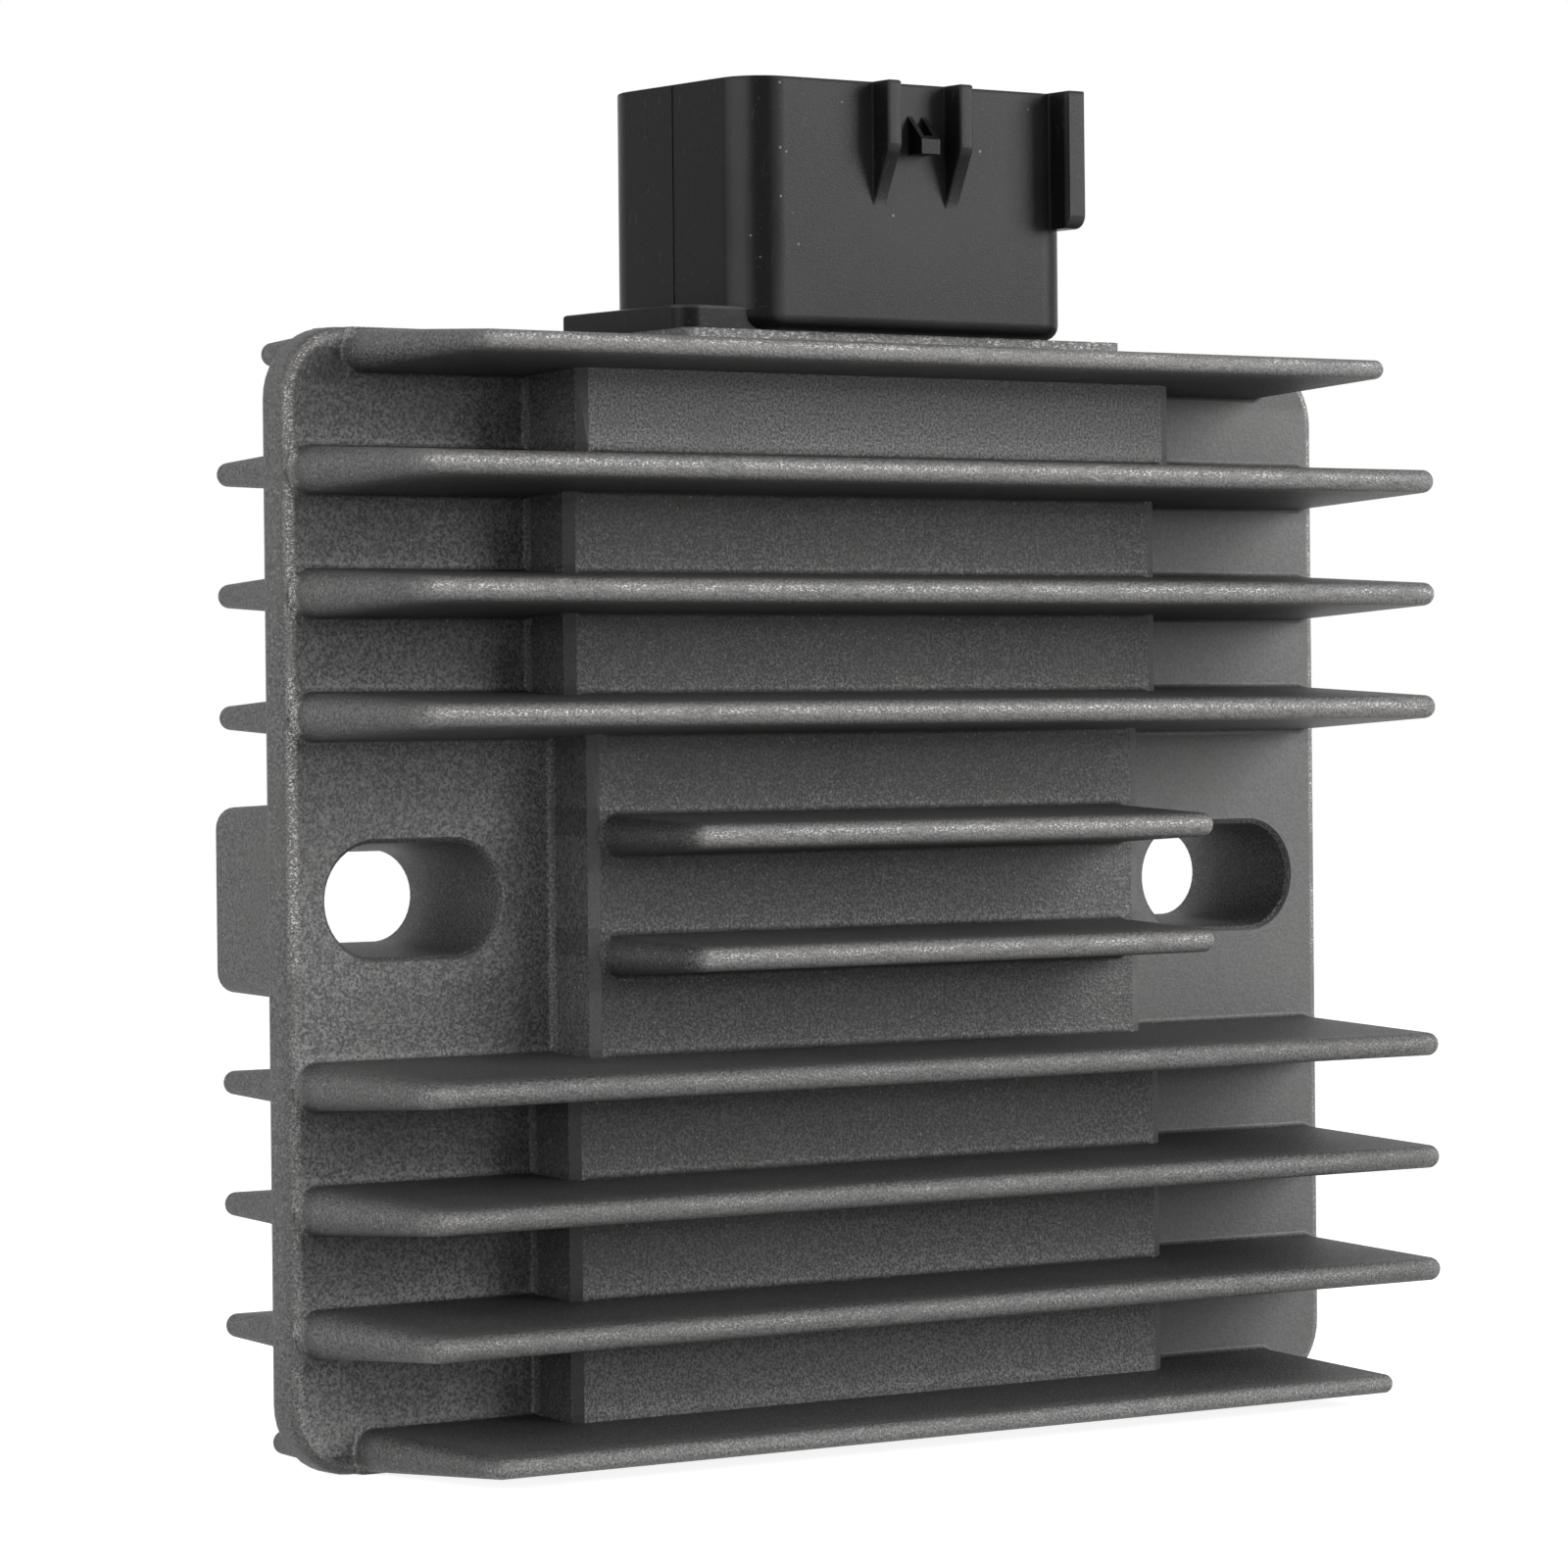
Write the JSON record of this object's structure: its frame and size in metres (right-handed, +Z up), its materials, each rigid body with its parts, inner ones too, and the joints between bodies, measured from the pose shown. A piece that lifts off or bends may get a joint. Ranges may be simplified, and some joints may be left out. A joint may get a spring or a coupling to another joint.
{
  "type": "voltage regulator rectifier",
  "caption": "Finned die-cast regulator rectifier for a motorcycle, potted at the back, with slotted mounting bosses at both sides and a moulded plug socket on top.",
  "frame": {"origin": "midway between the two mounting slots, on the plane of the boss faces that are bolted down", "axes": "+Z up towards the plug socket, +Y out of the back, towards what it is bolted to, +X to the right seen from the fins"},
  "size_m": [0.0942, 0.026, 0.0974],
  "materials": {
    "casting": "dark grey, fine blasted skin, worn brighter on the fin edges",
    "socket_plastic": "matt black moulded plastic",
    "resin": "cast black resin, slightly glossy",
    "tinned_brass": "tin plated",
    "insulator": "matt grey sheet",
    "board": "varnished circuit board",
    "package": "moulded component body",
    "capacitor_can": "bare can",
    "capacitor_film": "dipped case",
    "resistor": "fired chip"
  },
  "bodies": {
    "root": {"heatsink_casting": "casting", "connector_housing": "socket_plastic", "potting_resin": "resin", "terminal_phase_a": "tinned_brass", "terminal_phase_b": "tinned_brass", "terminal_phase_c": "tinned_brass", "terminal_battery": "tinned_brass", "terminal_sense": "tinned_brass", "terminal_ground": "tinned_brass", "insulating_sheet": "insulator", "circuit_board": "board", "control_chip": "package", "sense_capacitor": "capacitor_can", "filter_capacitor": "capacitor_film", "zener_diode": "package", "thyristor_1": "package", "rectifier_diode_1": "package", "gate_resistor_1": "resistor", "thyristor_2": "package", "rectifier_diode_2": "package", "gate_resistor_2": "resistor", "thyristor_3": "package", "rectifier_diode_3": "package", "gate_resistor_3": "resistor"}
  },
  "joints": []
}
